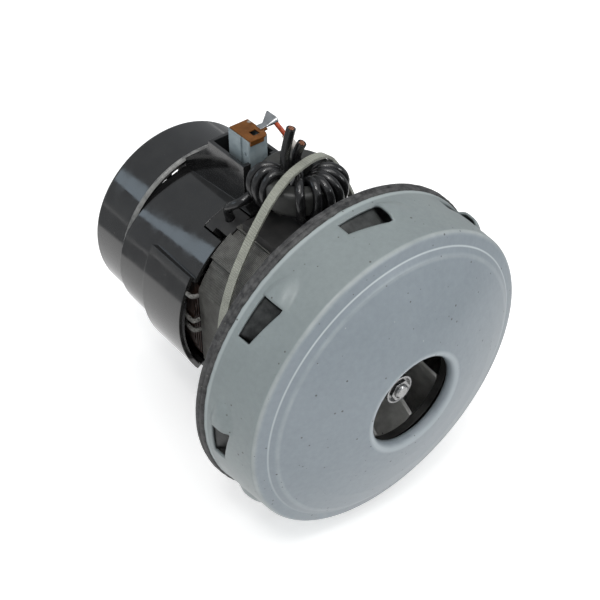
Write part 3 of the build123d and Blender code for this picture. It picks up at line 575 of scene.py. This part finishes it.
# Rim ring
# A soft black rubber channel pushed over the shroud's open edge, slightly wavy and dusty.
# It is one extruded strip whose ends meet, so its edges wander and its outside is grooved.
ring_line = [
    (0.0038, 0.0674), (0.0042, 0.0686), (0.004, 0.0692), (0.0032, 0.0695), (0.0025, 0.0695),
    (0.0022, 0.0692), (0.0019, 0.0696), (0.0009, 0.0697), (-0.0001, 0.0694), (-0.0007, 0.0686),
    (-0.0009, 0.064), (-0.0009, 0.0602),
]
ring_columns = 360
ring_reach = 0.06995
ring_stiff_radius = 0.068
stiff_share = 0.3
wander_along, wander_out = 0.0003, 0.0001
lump_along, lump_out = 0.0002, 0.00018


def rim_ring_mesh():
    """The ring's turned outline, shifted by slow wander and smaller lumps, less so where it is stiff."""
    points = []
    for column in range(ring_columns):
        turn = 2 * math.pi * column / ring_columns
        lay = Vector((math.sin(turn), math.cos(turn), 0))
        for row, (x, radius) in enumerate(ring_line):
            wander = noise.noise(lay * 9 + Vector((0, 0, row * 0.35)))
            lump = noise.noise(lay * 31 + Vector((5, 0, row * 0.5)))
            ease = 1.0 if radius > ring_stiff_radius else stiff_share
            x += ease * (wander_along * wander + lump_along * lump)
            radius = min(radius + ease * (wander_out * wander + lump_out * lump), ring_reach)
            points.append(ring_point(x, radius, turn))
    faces = [(a, d, c, b) for a, b, c, d in ring_faces(ring_columns, len(ring_line))]
    return mesh_piece("rim_ring", points, faces)


rim_ring = rim_ring_mesh()
rubber = plain_finish("rim_rubber", tone(32, 32, 34), tone(88, 88, 88), (0.5, 0.75), scale=380.0,
                      contrast=3.2, skin=(1100.0, 0.7), speck=(tone(132, 130, 124), 600.0, 0.16, 0.2))
rim_ring.data.materials.append(rubber)
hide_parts("rim_gasket")
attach(rim_ring, "motor_frame")

# Fan base and front bracket
# The zinc plated disc that closes the fan chamber, and the black bracket that carries the
# front bearing and reaches over the stator with two arms.


def dress(material, *nodes):
    """A carried-over solid takes a finish in place of its plain one."""
    for node in nodes:
        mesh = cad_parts[node].data
        for index in range(len(mesh.materials)):
            mesh.materials[index] = material


dress(plain_finish("base_zinc", tone(120, 122, 124), tone(150, 152, 154), (0.35, 0.5), metallic=0.9,
                   scale=120.0, skin=(1200.0, 0.15)), "fan_base")
satin_black = plain_finish("satin_black", tone(34, 34, 35), tone(52, 51, 50), (0.36, 0.52), scale=200.0,
                           contrast=2.2, skin=(3000.0, 0.12), speck=(tone(110, 108, 100), 500.0, 0.14, 0.12))
dress(satin_black, "front_bracket", "left_lead_guide", "right_lead_guide", "cooling_fan")

# Suction fan
# Two spun aluminium discs with seven curved blades riveted between them.
# The front disc takes a darker copy of the aluminium, painted shade for where it lies in the dark behind the
# inlet lip.
fan_sheet_finish = plain_finish("fan_aluminium", tone(170, 170, 168), tone(214, 214, 211), (0.38, 0.52),
                                metallic=0.45, scale=160.0, contrast=2.5, skin=(1400.0, 0.12),
                                speck=(tone(70, 66, 60), 350.0, 0.16, 0.2))
dress(fan_sheet_finish, "fan_back_disc", "fan_blades")
# The front disc's darker aluminium is painted shade.
dress(plain_finish("fan_front_shaded_aluminium", tone(52, 52, 52), tone(84, 84, 83), (0.4, 0.55), metallic=0.8,
                   scale=170.0), "fan_front_disc")

# Shaft, washer, nut and bearings
# Bright turned steel, with the shaft's end standing through the fan's nut and washer.
# The bearings' outer races sit in the bracket and the housing, and their inner races turn.
bright_steel = plain_finish("bright_steel", tone(150, 150, 150), tone(196, 196, 196), (0.2, 0.34),
                            metallic=1.0, scale=400.0, skin=(3000.0, 0.1))
dress(bright_steel, "shaft", "fan_hub", "fan_spacer", "fan_washer", "fan_nut", "stator_screws",
      "front_bearing", "rear_bearing", "front_inner_race", "rear_inner_race")

# Stator and armature laminations
# Stacks of punched electrical steel sheets, 0.65 mm each, their cut edges dark and stained.
# Four long screws hold the stator's stack, and the armature's is pressed on the shaft.
sheet_pitch = 0.00065


def stripes(material, value, pitch):
    """A wave along a value, once for each pitch."""
    sine = add_node(material, "ShaderNodeMath", operation="SINE")
    join(material, times(material, value, 2 * math.pi / pitch), sine.inputs[0])
    return sine.outputs[0]


def ridges(material, shader, wave, strength, distance):
    bump = add_node(material, "ShaderNodeBump", {"Strength": strength, "Distance": distance})
    join(material, wave, bump.inputs["Height"])
    join(material, bump.outputs["Normal"], shader.inputs["Normal"])


def lamination_finish():
    """Stained steel with a dark line and a fine groove between the sheets."""
    material, shader = new_material("lamination_steel")
    wave = stripes(material, surface_place(material)["X"], sheet_pitch)
    stain = use_effect(material, mottle, Scale=260.0, Contrast=2.6, Color_A=tone(90, 89, 85),
                       Color_B=tone(126, 126, 122))
    striped = mixed(material, 0.85, stain.outputs["Color"], ramp(material, wave, -0.95, 0.1), "MULTIPLY")
    join(material, striped, shader.inputs["Base Color"])
    join(material, ramp(material, stain.outputs["Value"], 0.0, 1.0, 0.45, 0.62), shader.inputs["Roughness"])
    shader.inputs["Metallic"].default_value = 0.35
    ridges(material, shader, wave, 0.6, 0.00012)
    return material


dress(lamination_finish(), "stator_core", "armature_core")

# Field coils, armature windings and commutator
# Enamelled copper wire wound in slots and varnished, and turned copper bars on a moulded hub.
# The field coils' rear ends are tied with pale lacing cord.
wire_pitch = 0.0009


def wire_finish(name, dark, light):
    """Lacquered wires laid side by side, with dark gaps between them."""
    material = plain_finish(name, dark, light, (0.28, 0.42), metallic=0.2, scale=900.0, skin=(1200.0, 0.2))
    shader = material.node_tree.nodes["Principled BSDF"]
    place = surface_place(material)
    across = add_node(material, "ShaderNodeMath", operation="ADD")
    join(material, place["X"], across.inputs[0])
    join(material, place["Y"], across.inputs[1])
    wave = stripes(material, across.outputs[0], wire_pitch)
    lacquer = shader.inputs["Base Color"].links[0].from_socket
    laid = mixed(material, ramp(material, wave, -0.9, 0.2), tone(14, 11, 9), lacquer)
    join(material, laid, shader.inputs["Base Color"])
    ridges(material, shader, wave, 0.8, 0.0003)
    return material


dress(wire_finish("winding_wire", tone(30, 18, 12), tone(78, 48, 32)), "left_field_coil", "right_field_coil",
      "armature_windings")
lashing_line = [
    (-0.0398, 0.0392), (-0.0399, 0.0418), (-0.0425, 0.042), (-0.048, 0.0418), (-0.0502, 0.036),
    (-0.0502, 0.028), (-0.0495, 0.0226), (-0.0458, 0.0222),
]
lashing_middle = 0.032
lashing_radius = 0.0009


def round_wire(name, routes, radius, roundness, capped=True, kind="NURBS"):
    """Round wires along routes of points. NURBS bends smoothly past them and POLY runs straight."""
    curve = bpy.data.curves.new(name, "CURVE")
    curve.dimensions = "3D"
    for route in routes:
        spline = curve.splines.new(kind)
        spline.points.add(len(route) - 1)
        for target, point in zip(spline.points, route):
            target.co = (*point, 1.0)
        spline.order_u = 3
        spline.use_endpoint_u = True
    curve.bevel_depth = radius
    curve.bevel_resolution = roundness
    curve.use_fill_caps = capped
    piece = bpy.data.objects.new(name, curve)
    bpy.context.collection.objects.link(piece)
    return piece


def lashing(name, side, height, lean):
    """A turn of pale lacing cord round a coil's rear end."""
    route = [(x, side * y, height + lean * (y - lashing_middle)) for x, y in lashing_line]
    return round_wire(name, [route], lashing_radius, 4, capped=False)


lacing_cord = plain_finish("lacing_cord", tone(70, 70, 68), tone(132, 131, 127), (0.55, 0.7), scale=900.0,
                           contrast=3.0, skin=(1500.0, 0.6))
for index, (side, height, lean) in enumerate(
    ((-1, 0.0172, 0.1), (-1, 0.0062, -0.1), (-1, -0.0012, 0.16), (1, 0.0165, 0.1), (1, -0.003, -0.12))
):
    cord_turn = lashing(f"coil_lashing_{index + 1}", side, height, lean)
    cord_turn.data.materials.append(lacing_cord)
    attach(cord_turn, "motor_frame")
dress(plain_finish("bar_copper", tone(150, 92, 66), tone(188, 124, 92), (0.25, 0.4), metallic=1.0),
      "commutator")
dress(plain_finish("hub_moulding", tone(92, 58, 34), tone(120, 80, 50), (0.4, 0.5)), "winding_sleeve",
      "commutator_hub")

# Rear housing and cover
# Glossy black mouldings with handling marks, carrying the rear bearing and the brush boxes.
# The cover is pressed on, and its rolled lip is painted pale as a highlight along the ridge.
gloss_black = plain_finish("gloss_black", tone(20, 20, 21), tone(31, 31, 31), (0.05, 0.17), scale=120.0,
                           contrast=3.2, skin=(240.0, 0.05), speck=(tone(92, 90, 86), 420.0, 0.1, 0.14),
                           specular=1.0, edge=0.0005)
dress(gloss_black, "rear_housing", "cooling_cover")
lip_line = [
    (-0.0914, 0.0423), (-0.0913, 0.0431), (-0.0909, 0.0437), (-0.0903, 0.0439), (-0.0896, 0.0436),
    (-0.0890, 0.0428),
]
lip_columns = 180


def lip_mesh():
    points = [ring_point(x, radius, 2 * math.pi * k / lip_columns) for k in range(lip_columns)
              for x, radius in lip_line]
    return mesh_piece("cover_lip", points, ring_faces(lip_columns, len(lip_line)))


# The lip's pale grey is a painted highlight on the black cover's ridge.
lip_highlight_finish = plain_finish("cover_lip_highlight", tone(84, 85, 85), tone(150, 150, 148), (0.22, 0.4), scale=160.0,
                          contrast=2.6, skin=(900.0, 0.1))
cover_lip = lip_mesh()
cover_lip.data.materials.append(lip_highlight_finish)
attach(cover_lip, "motor_frame")

# Brush holders, clips, terminals and carbon
# Pale blue-grey mouldings that guide the carbon brushes, closed by sprung brass clips.
# A tinned crimp on each clip holds the brush wire, and the upper wire has a pale glass-fibre sleeve.
dress(plain_finish("holder_moulding", tone(128, 142, 148), tone(158, 170, 174), (0.38, 0.5), scale=180.0,
                   contrast=2.4, speck=(tone(90, 96, 98), 500.0, 0.14, 0.1)), "upper_brush_holder",
      "lower_brush_holder")
dress(plain_finish("clip_brass", tone(120, 74, 32), tone(158, 102, 50), (0.3, 0.46), metallic=0.7,
                   scale=350.0, contrast=2.6, speck=(tone(196, 190, 182), 210.0, 0.34, 0.2)),
      "upper_brush_clip", "lower_brush_clip")
dress(plain_finish("terminal_tin", tone(170, 172, 174), tone(210, 212, 214), (0.14, 0.28), metallic=1.0,
                   scale=300.0), "upper_brush_terminal", "lower_brush_terminal")
dress(plain_finish("lead_red", tone(150, 52, 26), tone(196, 92, 56), (0.36, 0.5), scale=900.0, contrast=3.0),
      "upper_brush_lead", "lower_brush_lead")
sleeve_route = [
    (-0.0498, 0.0131, 0.0656), (-0.0484, 0.015, 0.0616), (-0.0476, 0.0184, 0.0558), (-0.0486, 0.0209, 0.0525),
]
sleeve_radius = 0.00165
brush_sleeve = round_wire("upper_brush_sleeve", [sleeve_route], sleeve_radius, 6)
brush_sleeve.data.materials.append(
    plain_finish("sleeve_fibre", tone(196, 190, 184), tone(228, 224, 219), (0.5, 0.7), scale=500.0,
                 contrast=2.4, skin=(2600.0, 0.5)))
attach(brush_sleeve, "motor_frame")
dress(plain_finish("carbon", tone(34, 34, 35), tone(50, 50, 50), (0.5, 0.65), scale=900.0),
      "upper_carbon_brush", "lower_carbon_brush")

# Brush springs
# Six turns of drawn spring steel wire between the clip and the carbon's nib.
# Each is coiled with an open pitch.
spring_place = -0.0569
spring_near = 0.03885
spring_far = 0.0686
spring_radius = 0.0025
spring_wire = 0.00034
spring_turns = 6
turn_columns = 28
wire_sides = 8


def spring_mesh(name, side):
    """A coil of round wire along Z, closed at both ends. The lower one is the upper one turned half round."""
    columns = spring_turns * turn_columns
    points = []
    for column in range(columns + 1):
        share = column / columns
        turn = 2 * math.pi * spring_turns * share
        for k in range(wire_sides):
            lie = 2 * math.pi * k / wire_sides
            reach = spring_radius + spring_wire * math.cos(lie)
            level = spring_near + (spring_far - spring_near) * share + spring_wire * math.sin(lie)
            x, y = spring_place + reach * math.cos(turn), reach * math.sin(turn)
            points.append((x, y * side, level * side))
    faces = []
    for column in range(columns):
        here, on = column * wire_sides, (column + 1) * wire_sides
        faces += [(here + k, here + (k + 1) % wire_sides, on + (k + 1) % wire_sides, on + k)
                  for k in range(wire_sides)]
    last = columns * wire_sides
    faces += [tuple(reversed(range(wire_sides))), tuple(range(last, last + wire_sides))]
    return mesh_piece(name, points, faces)


for place, side in (("upper", 1), ("lower", -1)):
    spring = spring_mesh(place + "_spring_wire", side)
    spring.data.materials.append(bright_steel)
    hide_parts(place + "_brush_spring")
    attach(spring, "motor_frame")
    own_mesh(spring)

# Suppression ring
# A pressed and sintered ferrite toroid, dark grey with a dull sheen.
# It lies on top of the stator, held down by the cable tie and the leads' turns.
dress(plain_finish("ferrite", tone(46, 47, 46), tone(70, 71, 69), (0.38, 0.52), scale=260.0, contrast=2.0,
                   skin=(2200.0, 0.2)), "suppression_ring")

# Leads
# Two black jacketed mains leads that pass through the ring several times and end cut off.
# Each is one length of cable: out of its hole, round the ring, and up out of the middle.
lead_width = 0.0037
ring_centre = Vector((-0.033, 0.005, 0.056))
ring_tilt = math.radians(5.0)
left_route = [
    (-0.048, -0.016, 0.039),
    (-0.0492, -0.0168, 0.0430),
    (-0.0468, -0.0173, 0.0468),
    (-0.0425, -0.0148, 0.0500),
]
left_rise = [
    (-0.0337, 0.0005, 0.0605),
    (-0.0351, 0.0008, 0.0655),
    (-0.0357, 0.0019, 0.0715),
    (-0.0344, 0.0036, 0.0803),
]
right_route = [
    (-0.048, 0.016, 0.039),
    (-0.0476, 0.0186, 0.045),
    (-0.0444, 0.0212, 0.0494),
    (-0.039, 0.0224, 0.0516),
    (-0.0335, 0.0223, 0.0528),
]
right_rise = [
    (-0.0326, 0.0070, 0.0590),
    (-0.0348, 0.0064, 0.0632),
    (-0.0352, 0.0066, 0.0680),
    (-0.0332, 0.0078, 0.0726),
]
turn_points = 14
turn_top = 0.75
turn_end = 190
hole_reach = 0.0046
hole_wander = 0.0014
turn_rise = 0.0077
rise_wander = 0.06
turn_sway = 3
# Each turn: the way it lies from the ring's middle, in degrees, and how far out it reaches.
left_turns = [(-126, 0.0182), (-112, 0.0172), (-95, 0.0152)]
right_turns = [(58, 0.0188), (44, 0.0188), (27, 0.0187), (11, 0.0184), (-3, 0.0168), (-33, 0.0165)]


def ring_turns(turns, start):
    """A lead's way from outside the ring, under it, up through the hole and over the top, turn after turn.

    Each turn has its own lie and reach on top of the ring, and goes over to the next one's from there.
    """
    points = []
    stop = 360 * len(turns) + turn_end
    steps = int((stop - start) / 360 * turn_points)
    for step in range(steps + 1):
        section = start + (stop - start) * step / steps
        place = min(max(section / 360 - turn_top, 0), len(turns) - 1)
        low = min(int(place), len(turns) - 2)
        share = place - low
        angle = turns[low][0] + (turns[low + 1][0] - turns[low][0]) * share
        reach = turns[low][1] + (turns[low + 1][1] - turns[low][1]) * share
        inner = hole_reach + hole_wander * noise.noise(Vector((place * 2.3, angle * 0.05, 0)))
        rise = turn_rise * (1 + rise_wander * noise.noise(Vector((place * 1.9, 3, angle * 0.04))))
        dip = math.sin(math.radians(section))
        radius = (reach + inner) / 2 + (reach - inner) / 2 * math.cos(math.radians(section))
        lie = math.radians(angle + turn_sway * dip)
        local = Vector((radius * math.cos(lie), radius * math.sin(lie), -rise * dip))
        points.append(ring_centre + Matrix.Rotation(ring_tilt, 3, "Y") @ local)
    return points


lead_jacket = plain_finish("lead_jacket", tone(12, 12, 13), tone(25, 25, 26), (0.17, 0.30), scale=500.0,
                           contrast=2.0, skin=(1800.0, 0.08), speck=(tone(92, 92, 92), 800.0, 0.1, 0.1),
                           specular=0.8)
left_points = left_route + ring_turns(left_turns, 40) + left_rise
right_points = right_route + ring_turns(right_turns, 20) + right_rise
strand_count = 7
strand_radius = 0.00041
strand_spacing = 0.00082
strand_turn = 11
strand_inside = 0.0012
strand_proud = 0.00018
strand_uneven = 0.0001


def lead_strands(name, end, before):
    """The bare copper wires in a lead's cut end: one in the middle and the others round it."""
    out = (Vector(end) - Vector(before)).normalized()
    side = out.orthogonal().normalized()
    routes = []
    for wire in range(strand_count):
        place = Vector(end)
        if wire:
            lie = math.radians(360 / (strand_count - 1) * wire + strand_turn)
            place += Matrix.Rotation(lie, 3, out) @ side * strand_spacing
        proud = strand_proud + strand_uneven * (wire % 3)
        routes.append([place - out * strand_inside, place + out * proud])
    piece = round_wire(name, routes, strand_radius, 3, kind="POLY")
    piece.data.materials.append(strand_copper)
    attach(piece, "motor_frame")
    return piece


strand_copper = plain_finish("strand_copper", tone(150, 100, 78), tone(196, 140, 112), (0.25, 0.4),
                             metallic=0.9, scale=1500.0)
for name, points, nodes in (
    ("left_mains_lead", left_points, ("left_lead", "left_lead_coil", "left_lead_end")),
    ("right_mains_lead", right_points, ("right_lead", "right_lead_coil", "right_lead_end")),
):
    lead = round_wire(name, [points], lead_width / 2, 8)
    lead.data.materials.append(lead_jacket)
    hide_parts(*nodes)
    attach(lead, "motor_frame")
left_strands = lead_strands("left_lead_strands", left_points[-1], left_points[-2])
right_strands = lead_strands("right_lead_strands", right_points[-1], right_points[-2])

# Cable tie
# One natural nylon tie pulled round the stator and the ring, gone pale grey-green.
# It is moulded with fine cross ribs and clamped in its own head.
rib_count = 380


def tie_finish():
    """Natural nylon with the strap's fine cross ribs, which run round the shaft with it."""
    material = plain_finish("tie_nylon", tone(138, 140, 130), tone(164, 166, 155), (0.34, 0.5), scale=260.0,
                            contrast=2.0, speck=(tone(116, 114, 100), 700.0, 0.14, 0.15))
    shader = material.node_tree.nodes["Principled BSDF"]
    place = surface_place(material)
    turn = add_node(material, "ShaderNodeMath", operation="ARCTAN2")
    join(material, place["Y"], turn.inputs[0])
    join(material, place["Z"], turn.inputs[1])
    ridges(material, shader, stripes(material, turn.outputs[0], 2 * math.pi / rib_count), 0.5, 0.0002)
    return material


dress(tie_finish(), "cable_tie")
